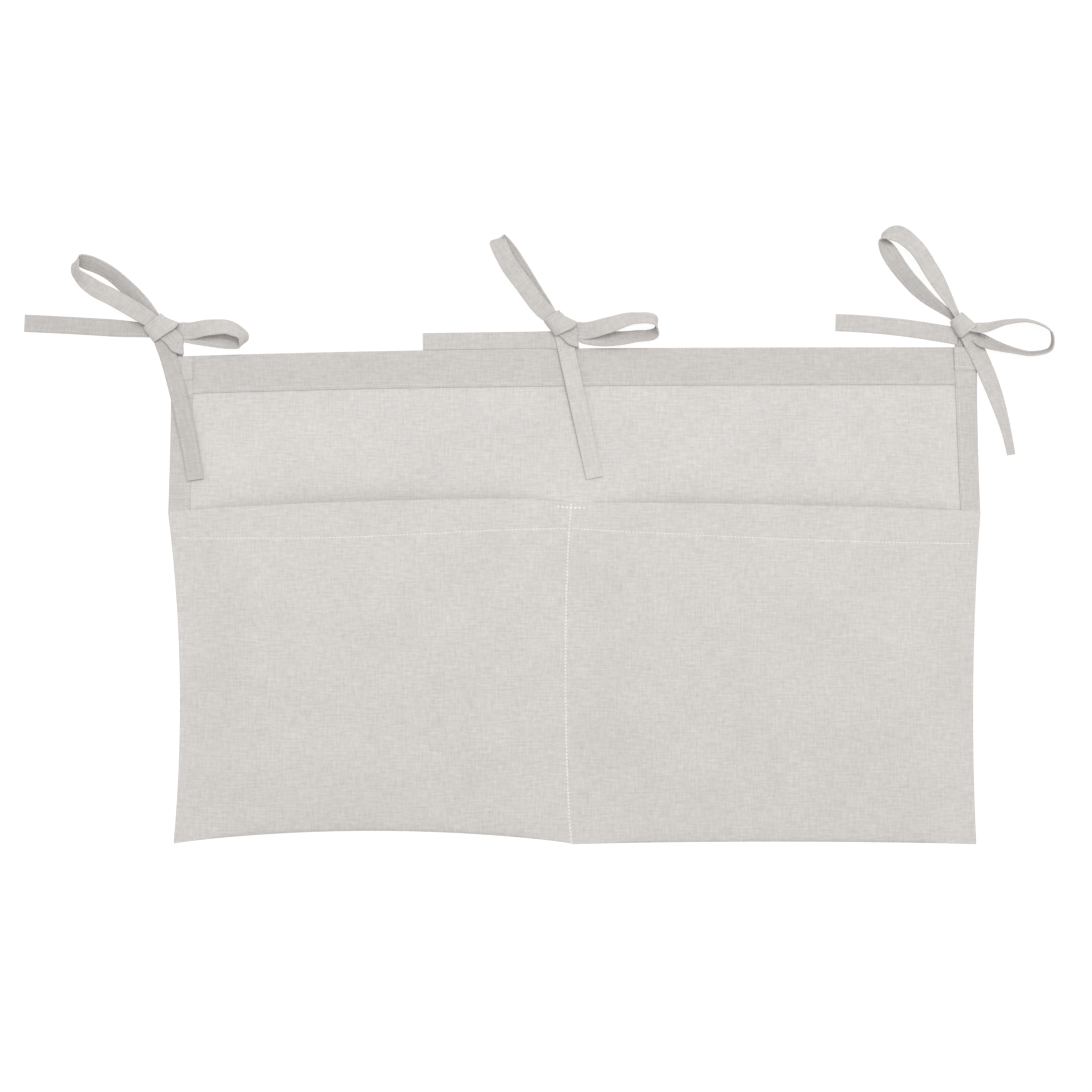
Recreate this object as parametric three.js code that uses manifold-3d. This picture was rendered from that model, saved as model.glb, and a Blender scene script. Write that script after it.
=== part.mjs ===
// A hanging crib organizer of plain linen, laid on its back: a hemmed back panel, one pocket panel
// sewn over its lower part with a seam down the middle, and three pairs of tape ties, each tied in a bow.
// Millimetres. X runs along the top edge, Y runs up towards the ties, Z comes out of the pocket side.
// The origin is the middle of the back panel's back face.

import * as THREE from 'three';
import { mergeVertices } from 'three/addons/utils/BufferGeometryUtils.js';
import Module from 'manifold-3d';

const wasm = await Module();
wasm.setup();

// Back panel.
const panelWidth = 600;
const panelHeight = 370;
const clothThickness = 1;
const topHemDepth = 28;
const sideHemDepth = 16.5;
const hemFoldThickness = 1;
const foldInset = 0.4;
const leftShoulderDrop = 7;

// How the cloth is drawn in or out along its sides and its lower edge.
const leftSide = { sign: -1, mouthSpread: 2.3, cornerInset: 2, drawIn: 6.7 };
const rightSide = { sign: 1, mouthSpread: 2.6, cornerInset: 0.6, drawIn: 3.8 };
const leftBottomLift = 10;
const rightBottomLift = 2;

// Pocket panel.
const pocketDepth = 248;
const pocketHemDepth = 21;
const leftMouthRise = 9;
const rightMouthRise = 6.3;
const mouthPeakFromSeam = 33;
const seamGap = 0.3;
const leftCrown = 13;
const rightCrown = 9.5;
const mouthShare = 0.84;
const crownFullness = 0.55;
const footFullness = 0.6;
const hemStep = 0.8;
const hemRampShare = 0.05;
const columnsPerPocket = 14;
const bodyRows = [0, 0.02, 0.05, 0.1, 0.17, 0.26, 0.36, 0.47, 0.58, 0.68, 0.77, 0.85];
const hemRows = [0.96, 1];

// Tape ties.
const tapeWidth = 12.8;
const tapeThickness = 1.2;
const fitGap = 0.3;
const hingeGap = 0.6;
const knotLength = 22;
const knotWidth = 15;
const knotHeight = 9;
const floorClearance = 0.1;
const leftTieInset = 2;
const rightTieInset = 8;
const middleTieAside = 1.5;
const bowSize = 100;
const knotSides = 20;
const knotProfile = [
  [0, -1], [0.72, -1], [0.93, -0.8], [1, -0.35],
  [1, 0.35], [0.93, 0.8], [0.72, 1], [0, 1],
];
const strapEndShare = 0.35;

// How a bow's loops rise out of the knot and stand up along their length, as shares of their reach.
const loopSteps = 26;
const loopRoot = 4;
const upperRootZ = 7.6;
const lowerRootZ = 5.4;
const upperRootFade = 2;
const lowerRootFade = 12;
const archSoftness = 0.25;
const knotRollShare = 0.35;
const knotReachShare = 0.3;
const standingShare = 0.6;

// The tapes cross the top edge stacked: the two sewn straps, and the hanging tail over them.
const backStrapZ = floorClearance + tapeThickness / 2;
const frontStrapZ = backStrapZ + tapeThickness + fitGap;
const tailRootZ = frontStrapZ + tapeThickness + fitGap;
const knotMiddle = floorClearance + knotHeight / 2;
const hemTop = clothThickness + hemFoldThickness;
const tailOnHemZ = hemTop + fitGap + tapeThickness / 2;
const tailOnPanelZ = clothThickness + fitGap + tapeThickness / 2;

// Where each tie leaves the top edge, and how its bow lies. Angles are in degrees, counted from +X
// towards +Y. Lengths are in hundredths of bowSize. A place [x, y] is counted from the knot's centre,
// or for the hanging tail and the straps from the tie's own point on the top edge.
const ties = [
  {
    name: 'left_tie',
    x: leftTieInset - panelWidth / 2,
    knot: [-7.5, 20.6],
    wrapAngle: 36,
    upperLoop: {
      from: [-11, 6], heading: 145, reach: 67.5,
      spread: 6, backSpread: 20, rise: 11, roll: 12, backRoll: 38,
    },
    rightLoop: {
      from: [8.2, -3.7], heading: -4, reach: 52,
      spread: 14.5, backSpread: 8.7, rise: 11, roll: 32, backRoll: 40,
    },
    leftTail: { from: [-9, -1.2], to: [-103, 4.4], bow: -0.4 },
    tail: { from: [-3.9, 0], to: [15.9, -91.8], bow: 1.6, endRoll: 0, restsOn: 'side hem' },
    straps: { front: [2, 0], back: [-1.5, 0] },
  },
  {
    name: 'middle_tie',
    x: -middleTieAside,
    knot: [-8.5, 16.6],
    wrapAngle: 29,
    upperLoop: {
      from: [-8.2, 4.8], heading: 123, reach: 71,
      spread: 5.5, backSpread: 0.5, rise: 9, roll: 15, backRoll: 24,
    },
    rightLoop: {
      from: [9.5, -7], heading: 6.3, reach: 60.5,
      spread: 10.5, backSpread: 8.5, rise: 10, roll: 34, backRoll: 38,
    },
    leftTail: { from: [-5, -9.4], to: [-103.2, -11.2], bow: -0.4 },
    tail: { from: [-4.5, 0], to: [16.7, -96.4], bow: 0, endRoll: 0, restsOn: 'panel' },
    straps: { front: [3.5, 0], back: [0, 0] },
  },
  {
    name: 'right_tie',
    x: panelWidth / 2 - rightTieInset,
    knot: [-3, 16],
    wrapAngle: 36,
    upperLoop: {
      from: [-6.7, 8.9], heading: 129.3, reach: 77,
      spread: -20.5, backSpread: -15.5, rise: 12, roll: -10, backRoll: -30,
    },
    rightLoop: {
      from: [8, -5], heading: -8.3, reach: 61.5,
      spread: 30, backSpread: 19, rise: 1, roll: 20, backRoll: 14, standing: 58,
    },
    leftTail: { from: [-8, -8], to: [-93.9, 1.9], bow: -1.9 },
    tail: { from: [6, 0], to: [33, -80.2], bow: 3.3, endRoll: 54, restsOn: 'floor' },
    straps: { front: [1, 0], back: [-2, 0] },
  },
];

const colours = { panel: '#d8d4d0', pocket: '#d6d2ce', tape: '#cfccc9' };

// Small helpers.
const degrees = (angle) => (angle * Math.PI) / 180;
const ofBow = (hundredths) => (bowSize * hundredths) / 100;
const mix = (a, b, t) => a + (b - a) * t;
const clamp01 = (t) => Math.min(1, Math.max(0, t));
const smooth = (t) => clamp01(t) ** 2 * (3 - 2 * clamp01(t));

function toSolid(geometry) {
  const bare = geometry.clone();
  bare.deleteAttribute('normal');
  bare.deleteAttribute('uv');
  const merged = mergeVertices(bare, 1e-4);
  const vertProperties = Float32Array.from(merged.attributes.position.array);
  const corners = merged.index.array;
  const kept = [];
  for (let i = 0; i < corners.length; i += 3) {
    const [a, b, c] = corners.slice(i, i + 3);
    if (a !== b && b !== c && c !== a) kept.push(a, b, c);
  }
  const triVerts = Uint32Array.from(kept);
  return new wasm.Manifold(new wasm.Mesh({ numProp: 3, vertProperties, triVerts }));
}

function toGeometry(solid) {
  const mesh = solid.getMesh();
  const geometry = new THREE.BufferGeometry();
  geometry.setAttribute('position', new THREE.BufferAttribute(mesh.vertProperties, 3));
  geometry.setIndex(new THREE.BufferAttribute(mesh.triVerts, 1));
  geometry.computeVertexNormals();
  return geometry;
}

// The outline of the cloth, as heights and widths that the hems and the pocket follow too.
const bottomY = -panelHeight / 2;
const topY = panelHeight / 2;
const mouthSideY = bottomY + pocketDepth;
const halfWidth = panelWidth / 2;

function topEdgeY(x) {
  const fromRight = clamp01((halfWidth - x) / panelWidth);
  return topY - leftShoulderDrop * fromRight ** 3;
}

function sideX(side, y) {
  const up = clamp01((y - bottomY) / pocketDepth);
  const above = clamp01((y - mouthSideY) / (topY - mouthSideY));
  const spread = side.mouthSpread * up * (1 - above) ** 2;
  const inset = side.cornerInset * (1 - up) + side.drawIn * 4 * up * (1 - up);
  return side.sign * (halfWidth + spread - inset);
}

function bottomEdgeY(x) {
  const lift = x < 0 ? leftBottomLift : rightBottomLift;
  const across = clamp01(Math.abs(x) / halfWidth);
  return bottomY + lift * Math.sin(Math.PI * across) ** 0.75;
}

function mouthY(x) {
  if (x >= 0) return mouthSideY + rightMouthRise * (1 - clamp01(x / halfWidth) ** 2);
  const toPeak = -x / mouthPeakFromSeam;
  if (toPeak < 1) return mouthSideY + mix(rightMouthRise, leftMouthRise, toPeak);
  const fromPeak = clamp01((-x - mouthPeakFromSeam) / (halfWidth - mouthPeakFromSeam));
  return mouthSideY + leftMouthRise * (1 - fromPeak ** 2);
}

const leftX = (y) => sideX(leftSide, y);
const rightX = (y) => sideX(rightSide, y);

// Points along an edge: across is given as x against a height, upright as y against a width.
function acrossEdge(fromX, toX, yAt, steps) {
  const place = (i) => mix(fromX, toX, i / steps);
  return Array.from({ length: steps + 1 }, (_, i) => new THREE.Vector2(place(i), yAt(place(i))));
}

function uprightEdge(fromY, toY, xAt, steps) {
  const place = (i) => mix(fromY, toY, i / steps);
  return Array.from({ length: steps + 1 }, (_, i) => new THREE.Vector2(xAt(place(i)), place(i)));
}

function clothSolid(outline, fromZ, toZ) {
  const shape = new THREE.Shape(outline);
  const geometry = new THREE.ExtrudeGeometry(shape, { depth: toZ - fromZ, bevelEnabled: false });
  geometry.translate(0, 0, fromZ);
  return toSolid(geometry);
}

// Back panel, with its top edge and its side edges above the pocket folded over to the front.
function backPanel() {
  const panel = [
    ...acrossEdge(leftX(bottomY), rightX(bottomY), bottomEdgeY, 30),
    ...uprightEdge(bottomY, topEdgeY(rightX(topY)), rightX, 20).slice(1, -1),
    ...acrossEdge(rightX(topY), leftX(topY), topEdgeY, 16),
    ...uprightEdge(topEdgeY(leftX(topY)), bottomY, leftX, 20).slice(1, -1),
  ];

  // The folded strip runs up one side, along the top and down the other side.
  const outerTop = (x) => topEdgeY(x) - foldInset;
  const innerTop = (x) => topEdgeY(x) - topHemDepth;
  const outerLeft = (y) => leftX(y) + foldInset;
  const outerRight = (y) => rightX(y) - foldInset;
  const innerLeft = (y) => leftX(y) + sideHemDepth;
  const innerRight = (y) => rightX(y) - sideHemDepth;
  const foot = mouthSideY + fitGap;
  const leftFoot = mouthY(innerLeft(foot)) + fitGap;
  const rightFoot = mouthY(innerRight(foot)) + fitGap;
  const hem = [
    ...uprightEdge(rightFoot, outerTop(outerRight(topY)), outerRight, 8),
    ...acrossEdge(outerRight(topY), outerLeft(topY), outerTop, 16).slice(1),
    ...uprightEdge(outerTop(outerLeft(topY)), leftFoot, outerLeft, 8).slice(1),
    ...uprightEdge(leftFoot, innerTop(innerLeft(topY)), innerLeft, 6),
    ...acrossEdge(innerLeft(topY), innerRight(topY), innerTop, 14).slice(1),
    ...uprightEdge(innerTop(innerRight(topY)), rightFoot, innerRight, 6).slice(1),
  ];
  return clothSolid(panel, 0, clothThickness).add(clothSolid(hem, clothThickness / 2, hemTop));
}

// How far the pocket panel stands off the back panel, at a share across one pocket and up it.
function pocketHeight(crown, across, up) {
  const sideways = Math.sin(Math.PI * clamp01(across)) ** crownFullness;
  const rising = Math.sin(Math.PI * Math.min(up, 0.5)) ** footFullness;
  const toMouth = 1 - (1 - mouthShare) * smooth((up - 0.5) * 2);
  return crown * sideways * (up < 0.5 ? rising : toMouth);
}

// Pocket panel: one cloth over both pockets, held down at the sides, the bottom and the middle seam,
// and turned over to the inside along the mouth.
function pocketPanel() {
  const hemShare = 1 - pocketHemDepth / pocketDepth;
  const rows = [...bodyRows, hemShare - hemStep / pocketDepth, hemShare, ...hemRows];
  const columns = [];
  for (let pocket = 0; pocket < 2; pocket += 1) {
    for (let i = pocket; i <= columnsPerPocket; i += 1) {
      columns.push({ pocket, across: (1 - Math.cos((Math.PI * i) / columnsPerPocket)) / 2 });
    }
  }
  const positions = [];
  for (const top of [false, true]) {
    for (const up of rows) {
      for (const { pocket, across } of columns) {
        const levelY = mix(bottomY, mouthSideY, up);
        const side = sideX(pocket ? rightSide : leftSide, levelY);
        const x = pocket ? across * side : (1 - across) * side;
        const y = mix(bottomEdgeY(x), mouthY(x), up);
        const inHem = up >= hemShare;
        const hemLift = hemFoldThickness * smooth((up - hemShare + hemRampShare) / hemRampShare);
        const crown = pocket ? rightCrown : leftCrown;
        const under = clothThickness + seamGap + Math.max(hemLift, pocketHeight(crown, across, up));
        const z = top ? under + clothThickness : under - (inHem ? hemFoldThickness : 0);
        positions.push(x, y, z);
      }
    }
  }
  const across = columns.length;
  const layer = across * rows.length;
  const index = [];
  const quad = (a, b, c, d) => index.push(a, b, c, a, c, d);
  for (let row = 0; row < rows.length - 1; row += 1) {
    for (let column = 0; column < across - 1; column += 1) {
      const corner = row * across + column;
      quad(corner, corner + across, corner + across + 1, corner + 1);
      quad(layer + corner, layer + corner + 1, layer + corner + across + 1, layer + corner + across);
    }
  }
  const last = (rows.length - 1) * across;
  for (let column = 0; column < across - 1; column += 1) {
    quad(column, column + 1, layer + column + 1, layer + column);
    quad(last + column + 1, last + column, layer + last + column, layer + last + column + 1);
  }
  for (let row = 0; row < rows.length - 1; row += 1) {
    const here = row * across;
    const next = here + across;
    const right = across - 1;
    quad(next, here, layer + here, layer + next);
    quad(here + right, next + right, layer + next + right, layer + here + right);
  }
  const geometry = new THREE.BufferGeometry();
  geometry.setAttribute('position', new THREE.Float32BufferAttribute(positions, 3));
  geometry.setIndex(index);
  geometry.computeVertexNormals();
  return geometry;
}

// The direction along a tape at one of its stations, and the direction square to that across it.
function lengthwise(stations, i) {
  const before = stations[Math.max(0, i - 1)].centre;
  const after = stations[Math.min(stations.length - 1, i + 1)].centre;
  return after.clone().sub(before).normalize();
}

function crosswise(stations, i) {
  const along = lengthwise(stations, i);
  const { across } = stations[i];
  return across.clone().addScaledVector(along, -across.dot(along)).normalize();
}

// A tape: a flat rectangle swept along stations, each with its centre and its crosswise direction.
// grow widens it all round, to cut a clear seat for it.
function tape(stations, grow = 0) {
  const halfAcross = tapeWidth / 2 + grow;
  const halfThick = tapeThickness / 2 + grow;
  const positions = [];
  stations.forEach(({ centre }, i) => {
    const width = crosswise(stations, i);
    const face = lengthwise(stations, i).cross(width);
    for (const [w, f] of [[-1, -1], [1, -1], [1, 1], [-1, 1]]) {
      const corner = centre.clone().addScaledVector(width, w * halfAcross);
      corner.addScaledVector(face, f * halfThick);
      positions.push(corner.x, corner.y, corner.z);
    }
  });
  const index = [];
  const quad = (a, b, c, d) => index.push(a, b, c, a, c, d);
  for (let i = 0; i < stations.length - 1; i += 1) {
    for (let side = 0; side < 4; side += 1) {
      const next = (side + 1) % 4;
      quad(4 * i + side, 4 * i + next, 4 * i + 4 + next, 4 * i + 4 + side);
    }
  }
  const end = 4 * (stations.length - 1);
  quad(3, 2, 1, 0);
  quad(end, end + 1, end + 2, end + 3);
  const geometry = new THREE.BufferGeometry();
  geometry.setAttribute('position', new THREE.Float32BufferAttribute(positions, 3));
  geometry.setIndex(index);
  return toSolid(geometry);
}

// A bow's loop runs out along its heading and back as half of a figure of eight. Its upper branch stands
// aside by spread and arches by rise; the lower one stands aside by backSpread and stays down on its edge.
// The tape leans by roll on the upper branch and by backRoll on the lower one, and stands up by standing.
function loopStations(base, loop) {
  const { heading, roll, backRoll, standing = 0 } = loop;
  const [reach, spread, backSpread, rise] = [loop.reach, loop.spread, loop.backSpread, loop.rise].map(ofBow);
  const first = -Math.asin(loopRoot / reach);
  const along = new THREE.Vector3(Math.cos(degrees(heading)), Math.sin(degrees(heading)), 0);
  const aside = new THREE.Vector3(-along.y, along.x, 0);
  const stations = [];
  for (let i = 0; i <= loopSteps; i += 1) {
    const turn = mix(first, Math.PI - first, i / loopSteps);
    const out = Math.sin(turn);
    const bulge = Math.sin(2 * turn);
    const onUpper = turn < Math.PI / 2;
    const arch = (bulge + Math.hypot(bulge, archSoftness)) / 2;
    const at = base.clone();
    at.addScaledVector(along, reach * out);
    at.addScaledVector(aside, ((onUpper ? spread : backSpread) / 2) * bulge);
    at.z = rise * arch;
    const gathered = mix(knotRollShare, 1, smooth(out / knotReachShare));
    const lean = mix(roll, backRoll, smooth(i / loopSteps)) * gathered;
    const tilt = degrees(lean + standing * smooth(out / standingShare));
    const across = aside.clone().multiplyScalar(Math.cos(tilt));
    across.z = -Math.sin(tilt);
    const rootShare = Math.cos(turn) ** (onUpper ? upperRootFade : lowerRootFade);
    stations.push({ centre: at, across, rootShare, rootZ: onUpper ? upperRootZ : lowerRootZ });
  }
  const widths = stations.map((_, i) => crosswise(stations, i));
  stations.forEach(({ centre: at, rootShare, rootZ }, i) => {
    const onEdge = backStrapZ + (tapeWidth / 2) * Math.abs(widths[i].z);
    at.z = Math.max(onEdge, mix(onEdge + at.z, rootZ, rootShare));
  });
  return stations;
}

// A tail or strap lies flat along a gentle bow between two points. It keeps its first height for the
// share of its length given by level, and may roll towards its edge by its end.
function tailStations(from, to, { bow = 0, endRoll = 0, level = 0, steps = 12 } = {}) {
  const stations = [];
  const along = to.clone().sub(from).setZ(0).normalize();
  const aside = new THREE.Vector3(-along.y, along.x, 0);
  for (let i = 0; i <= steps; i += 1) {
    const t = i / steps;
    const at = from.clone().lerp(to, t).addScaledVector(aside, bow * 4 * t * (1 - t));
    at.z = mix(from.z, to.z, smooth((t - level) / (1 - level)));
    const tilt = degrees(endRoll) * smooth(t);
    const across = aside.clone().multiplyScalar(Math.cos(tilt));
    across.z = Math.sin(tilt);
    stations.push({ centre: at, across });
  }
  return stations;
}

// The knot: the tape wrapped once round the crossing, a barrel flattened to an oval.
function knotWrap(centre, wrapAngle, grow = 0) {
  const profile = knotProfile.map(([r, h]) => new THREE.Vector2(r, h));
  const barrel = new THREE.LatheGeometry(profile, knotSides);
  barrel.scale(knotLength / 2 + grow, knotWidth / 2 + grow, knotHeight / 2 + grow);
  barrel.rotateZ(degrees(wrapAngle));
  barrel.translate(centre.x, centre.y, centre.z);
  return toSolid(barrel);
}

// Cuts a tape along a line square to Y, keeping what lies above or below it.
function trim(solid, y, keepAbove) {
  const size = 2 * panelHeight;
  const block = new THREE.BoxGeometry(2 * panelWidth, size, size);
  block.translate(0, y + (keepAbove ? size / 2 : -size / 2), 0);
  return solid.intersect(toSolid(block));
}

const organizer = new THREE.Group();

function addPiece(name, geometry, colour) {
  const material = new THREE.MeshStandardMaterial({ color: colour, roughness: 0.92, metalness: 0 });
  const mesh = new THREE.Mesh(geometry, material);
  mesh.name = name;
  organizer.add(mesh);
}

function addTie(tie) {
  const near = (base, [dx, dy], z) => new THREE.Vector3(base.x + ofBow(dx), base.y + ofBow(dy), z);
  const edge = new THREE.Vector3(tie.x, topEdgeY(tie.x), 0);
  const knot = near(edge, tie.knot, knotMiddle);

  const wrap = knotWrap(knot, tie.wrapAngle);

  // Every tape is cut at the line where it leaves the top edge, because the bow swings there. It is
  // made longer than needed first, so that its slanting end can be cut true.
  const lineY = edge.y + hingeGap;
  const beyond = (from, to) => to.clone().sub(from).setZ(0).setLength(tapeWidth / 2).add(to);

  const rootFoot = near(edge, tie.tail.from, tailRootZ);
  const rootPath = tailStations(beyond(knot, rootFoot), knot, { steps: 5 });
  const root = trim(tape(rootPath), lineY, true);
  const seat = knotWrap(knot, tie.wrapAngle, fitGap).add(tape(rootPath, fitGap));

  const strap = (offset, z) => {
    const foot = near(edge, offset, z);
    const top = knot.clone().setZ(z);
    top.addScaledVector(foot.clone().sub(top).normalize(), knotWidth * strapEndShare);
    return trim(tape(tailStations(beyond(top, foot), top, { steps: 3 })), lineY, true).subtract(seat);
  };

  const { endRoll, restsOn } = tie.tail;
  const bow = ofBow(tie.tail.bow);
  const level = (topHemDepth + tapeWidth / 2) / -ofBow(tie.tail.to[1]);
  const tailOnFloorZ = backStrapZ + (tapeWidth / 2) * Math.sin(degrees(endRoll));
  const restZ = { 'side hem': tailOnHemZ, panel: tailOnPanelZ, floor: tailOnFloorZ }[restsOn];
  const tailTo = near(edge, tie.tail.to, restZ);
  const tailFrom = beyond(tailTo, rootFoot);
  const tailPath = tailStations(tailFrom, tailTo, { bow, endRoll, level, steps: 14 });
  const tail = trim(tape(tailPath), lineY - fitGap, false);

  const leftTailZ = floorClearance + tapeThickness / 2;
  const leftFrom = near(knot, tie.leftTail.from, leftTailZ);
  const leftTo = near(knot, tie.leftTail.to, leftTailZ);
  const leftTail = tape(tailStations(leftFrom, leftTo, { bow: ofBow(tie.leftTail.bow) })).subtract(seat);

  const loop = (shape) => tape(loopStations(near(knot, shape.from, 0), shape)).subtract(seat);

  addPiece(`${tie.name}_knot`, toGeometry(wrap.add(root)), colours.tape);
  addPiece(`${tie.name}_front_strap`, toGeometry(strap(tie.straps.front, frontStrapZ)), colours.tape);
  addPiece(`${tie.name}_back_strap`, toGeometry(strap(tie.straps.back, backStrapZ)), colours.tape);
  addPiece(`${tie.name}_upper_loop`, toGeometry(loop(tie.upperLoop)), colours.tape);
  addPiece(`${tie.name}_right_loop`, toGeometry(loop(tie.rightLoop)), colours.tape);
  addPiece(`${tie.name}_left_tail`, toGeometry(leftTail), colours.tape);
  addPiece(`${tie.name}_down_tail`, toGeometry(tail), colours.tape);
}

addPiece('back_panel', toGeometry(backPanel()), colours.panel);
addPiece('pocket_panel', pocketPanel(), colours.pocket);
ties.forEach(addTie);

export default organizer;
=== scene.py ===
# %% [markdown]
# # A linen crib organizer, laid flat
# The object is a sewn panel that ties across the end of a cot: a back cloth with folded hems, a second
# cloth over its lower part that a seam divides into two pockets, and three ties, each a bow of narrow
# tape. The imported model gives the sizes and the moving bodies. This script gives the cloth its folds,
# its weave and its thread. Lengths are worked out in millimetres and made metres in the mesh.

import math

import bpy
import numpy as np
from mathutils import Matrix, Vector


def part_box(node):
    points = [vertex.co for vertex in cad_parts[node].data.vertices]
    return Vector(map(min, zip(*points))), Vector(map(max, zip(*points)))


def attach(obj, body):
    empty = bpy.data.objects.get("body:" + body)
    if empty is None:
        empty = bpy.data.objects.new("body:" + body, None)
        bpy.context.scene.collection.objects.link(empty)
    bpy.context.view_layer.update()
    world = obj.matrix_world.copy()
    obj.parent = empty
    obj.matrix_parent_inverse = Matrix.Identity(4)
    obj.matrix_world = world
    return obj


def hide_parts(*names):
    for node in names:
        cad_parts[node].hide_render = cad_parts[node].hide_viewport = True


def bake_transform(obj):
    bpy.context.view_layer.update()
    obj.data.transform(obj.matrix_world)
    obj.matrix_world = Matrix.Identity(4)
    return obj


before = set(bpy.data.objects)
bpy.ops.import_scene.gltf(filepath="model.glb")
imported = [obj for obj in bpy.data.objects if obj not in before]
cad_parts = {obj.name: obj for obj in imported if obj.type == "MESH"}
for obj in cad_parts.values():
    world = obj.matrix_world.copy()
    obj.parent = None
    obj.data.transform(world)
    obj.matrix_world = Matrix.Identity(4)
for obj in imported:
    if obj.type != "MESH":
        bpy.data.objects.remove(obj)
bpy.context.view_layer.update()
MM = 0.001

# %% [markdown]
# ## The outline of the cloth
# Cloth that has been sewn and filled never keeps a ruler's edge. The sides are drawn in beside a full
# pocket, the lower edge lifts with it, and the pocket's mouth bows up. One small set of functions holds
# those curves, and every hem, seam and stitch is measured from them, so they all stay together.

# %% Outline
low, high = (np.array(corner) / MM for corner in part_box("back_panel"))
bottom_y, top_y = low[1], high[1]
half_width = 300.0
left_shoulder_drop = 7.0
pocket_depth = 248.0
mouth_side_y = bottom_y + pocket_depth
left_side = dict(
    sign=-1, mouth_spread=2.3, corner_inset=2.0, draw_in=6.7, lift=10.0, crown=13.0, hem=(16.0, 16.4)
)
right_side = dict(
    sign=1, mouth_spread=2.6, corner_inset=0.6, draw_in=3.8, lift=2.0, crown=9.5, hem=(14.7, 17.4)
)
left_mouth_rise, right_mouth_rise, mouth_peak = 9.0, 6.3, 33.0


def mix(a, b, t):
    return a + (b - a) * t


def smooth(t):
    t = np.clip(t, 0, 1)
    return t * t * (3 - 2 * t)


def top_edge_y(x):
    from_right = np.clip((half_width - x) / (2 * half_width), 0, 1)
    return top_y - left_shoulder_drop * from_right**3


def side_x(side, y):
    up = np.clip((y - bottom_y) / pocket_depth, 0, 1)
    above = np.clip((y - mouth_side_y) / (top_y - mouth_side_y), 0, 1)
    spread = side["mouth_spread"] * up * (1 - above) ** 2
    inset = side["corner_inset"] * (1 - up) + side["draw_in"] * 4 * up * (1 - up)
    return side["sign"] * (half_width + spread - inset)


def side_hem_depth(side, y):
    """The side hems were folded by eye, so they are deeper at the top than at the pocket's mouth."""
    above = np.clip((y - mouth_side_y) / (top_y - mouth_side_y), 0, 1)
    return mix(*side["hem"], above**2)


def bottom_edge_y(x):
    lift = np.where(x < 0, left_side["lift"], right_side["lift"])
    return bottom_y + lift * np.sin(np.pi * np.clip(np.abs(x) / half_width, 0, 1)) ** 0.75


def mouth_y(x):
    on_right = right_mouth_rise * (1 - np.clip(x / half_width, 0, 1) ** 2)
    from_peak = np.clip((-x - mouth_peak) / (half_width - mouth_peak), 0, 1)
    beside_seam = mix(right_mouth_rise, left_mouth_rise, np.clip(-x / mouth_peak, 0, 1))
    on_left = np.where(x > -mouth_peak, beside_seam, left_mouth_rise * (1 - from_peak**2))
    return mouth_side_y + np.where(x >= 0, on_right, on_left)


shoulders = top_edge_y(np.array([-half_width, half_width]))
print("heights of the left and right shoulder, mm:", shoulders.round(1).tolist())

# %% [markdown]
# ## From points to an object
# A fold could be sculpted, or dropped as a simulated cloth. Here each cloth and hem is worked out as
# points and faces instead, because then its edge lies exactly where the outline says. Edges sharper than
# a set angle are marked, so that a cut end stays crisp while the rest is shaded smoothly.

# %% From points to an object
sharp_angle = math.radians(52)


def in_scene(name, data):
    made = bpy.data.objects.new(name, data)
    bpy.context.scene.collection.objects.link(made)
    return made


def finish_mesh(name, mesh):
    mesh.shade_smooth()
    mesh.set_sharp_from_angle(angle=sharp_angle)
    return in_scene(name, mesh)


def solid(name, points, faces, material):
    mesh = bpy.data.meshes.new(name)
    mesh.from_pydata((np.asarray(points) * MM).tolist(), [], faces)
    mesh.materials.append(material)
    return finish_mesh(name, mesh)


print("edges stay crisp from, degrees:", round(math.degrees(sharp_angle)))

# %% [markdown]
# ## Node arithmetic
# A woven cloth is a sum of small waves and noises, which reads better as an expression than as a net of
# nodes. The class below wraps a socket, so that `1 - warp * 0.5` adds its own Math nodes. Every other
# node, of a material or of a geometry tree, comes from one method: its type, its settings, its inputs.

# %% Node helper
class Wire:
    def __init__(self, tree, socket):
        self.tree, self.socket = tree, socket

    @staticmethod
    def node(tree, kind, settings=None, inputs=None):
        made = tree.nodes.new(kind)
        for key, value in (settings or {}).items():
            setattr(made, key, value)
        for key, value in (inputs or {}).items():
            if isinstance(value, Wire):
                tree.links.new(value.socket, made.inputs[key])
            else:
                made.inputs[key].default_value = value
        return Wire(tree, made.outputs[0]) if made.outputs else made

    def out(self, key):
        return Wire(self.tree, self.socket.node.outputs[key])

    def math(self, operation, *values):
        inputs = dict(enumerate((self, *values)))
        return Wire.node(self.tree, "ShaderNodeMath", {"operation": operation}, inputs)

    def __add__(self, other):
        return self.math("ADD", other)

    def __sub__(self, other):
        return self.math("SUBTRACT", other)

    def __mul__(self, other):
        return self.math("MULTIPLY", other)

    def __truediv__(self, other):
        return self.math("DIVIDE", other)

    def __rsub__(self, other):
        return self * -1.0 + other

    __radd__ = __add__
    __rmul__ = __mul__


def emptied(owner):
    """The node tree of a material or of a world, with nothing in it yet."""
    owner.use_nodes = True
    owner.node_tree.nodes.clear()
    return owner.node_tree


# %% [markdown]
# ## Linen
# Plain-woven linen is matt, and its threads are uneven: a thicker stretch, called a slub, shows as a
# short pale or dark streak along the thread. Two stretched noises give the streaks of warp and weft,
# and the product of two sines gives the basket of the weave. On the panels the pattern reads object
# coordinates, because both cloths are cut along X and Y. On tape it reads the tape's own length and
# width, kept in a UV map, so it bends with the tape. The map holds the tape's two faces side by side,
# and the face that a loop turns inwards is painted a little darker, as painted shade inside the loop.

# %% Linen material
thread_pitch = 0.62
slub_width = 1.35
slub_length = 12.0
mottle_size = 2.8
cloud_size = 45.0
tape_width = 12.8
# How much darker the tape's inner face is painted: painted shade inside the loops.
painted_inner_shade = 0.18
weave_relief = 0.00016
tone_range = 2.4


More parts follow.
